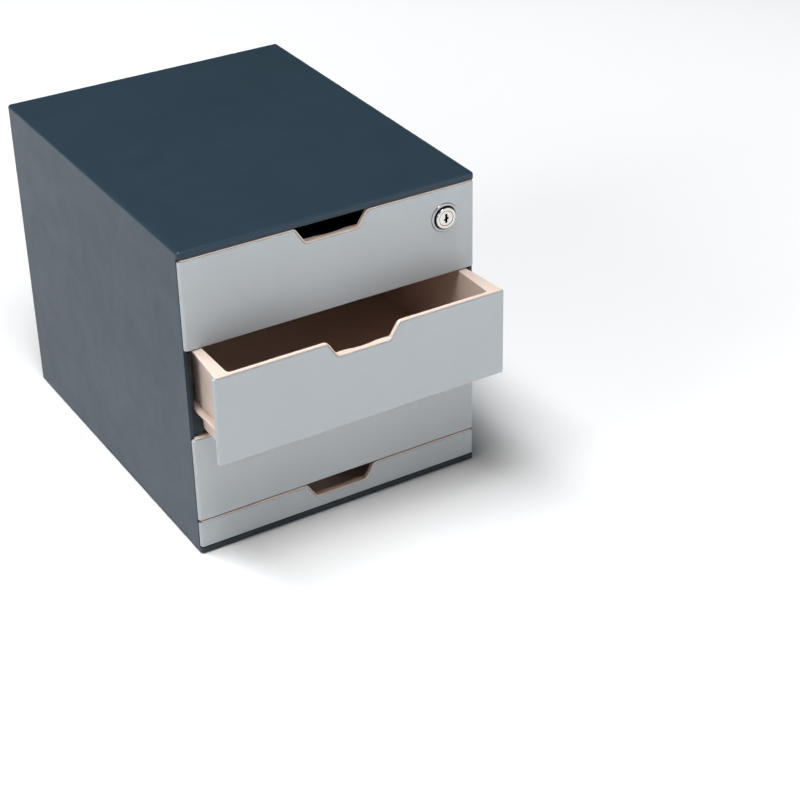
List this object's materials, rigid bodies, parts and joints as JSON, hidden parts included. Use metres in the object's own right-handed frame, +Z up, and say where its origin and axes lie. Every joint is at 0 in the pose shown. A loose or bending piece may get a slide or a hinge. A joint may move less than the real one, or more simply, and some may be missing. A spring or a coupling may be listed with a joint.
{
  "type": "desktop file drawer",
  "caption": "Free-standing desktop drawer box for papers, with tall drawers above a low one, finger-notch fronts, a cam lock on the top drawer and stored insert trays.",
  "frame": {"origin": "centre of the casing's footprint, on the surface that the feet stand on", "axes": "+X to the right seen from the front, +Y from the drawer fronts to the back, +Z up"},
  "size_m": [0.28, 0.405, 0.292],
  "materials": {
    "hood": "satin moulded, dark slate",
    "base": "satin moulded, dark slate",
    "liner": "matt moulded, near black",
    "back": "matt moulded",
    "rubber": "matt",
    "screw": "zinc plated",
    "tray": "satin nude pink",
    "facing": "satin light grey",
    "lock_satin": "satin nickel",
    "lock_bright": "polished",
    "wafer": "plain",
    "insert_dark": "satin dark slate",
    "insert_clear": "clear styrene"
  },
  "bodies": {
    "casing": {"casing_shell": "hood", "base_plate": "base", "back_panel": "back", "runner_panel_left": "liner", "runner_panel_right": "liner", "rubber_feet": "rubber", "base_screws": "screw", "back_screws": "screw"},
    "drawer_1": {"drawer_1_tray": "tray", "drawer_1_front": "facing", "lock_rosette": "lock_satin", "lock_housing": "lock_bright", "lock_nut": "lock_satin"},
    "drawer_2": {"drawer_2_tray": "tray", "drawer_2_front": "facing"},
    "drawer_3": {"drawer_3_tray": "tray", "drawer_3_front": "facing", "insert_tray_clear": "insert_clear"},
    "drawer_4": {"drawer_4_tray": "tray", "drawer_4_front": "facing"},
    "lock_core": {"lock_plug": "lock_bright", "lock_wafers": "wafer", "lock_cam": "screw", "lock_cam_screw": "screw"},
    "insert_dark": {"insert_tray_dark": "insert_dark"}
  },
  "joints": [
    {"name": "drawer_1_slide", "type": "slide", "parent": "casing", "child": "drawer_1", "axis": [0, -1, 0], "range_m": [0, 0.2745]},
    {"name": "drawer_2_slide", "type": "slide", "parent": "casing", "child": "drawer_2", "axis": [0, -1, 0], "range_m": [-0.049, 0.2255]},
    {"name": "drawer_3_slide", "type": "slide", "parent": "casing", "child": "drawer_3", "axis": [0, -1, 0], "range_m": [0, 0.2745]},
    {"name": "drawer_4_slide", "type": "slide", "parent": "casing", "child": "drawer_4", "axis": [0, -1, 0], "range_m": [0, 0.2745]},
    {"name": "lock_turn", "type": "hinge", "parent": "drawer_1", "child": "lock_core", "pos_m": [0.1097, -0.178, 0.2572], "axis": [0, 1, 0], "range_deg": [0, 90]},
    {"name": "insert_slide", "type": "slide", "parent": "drawer_1", "child": "insert_dark", "axis": [0, 1, 0], "range_m": [0, 0.1]}
  ]
}
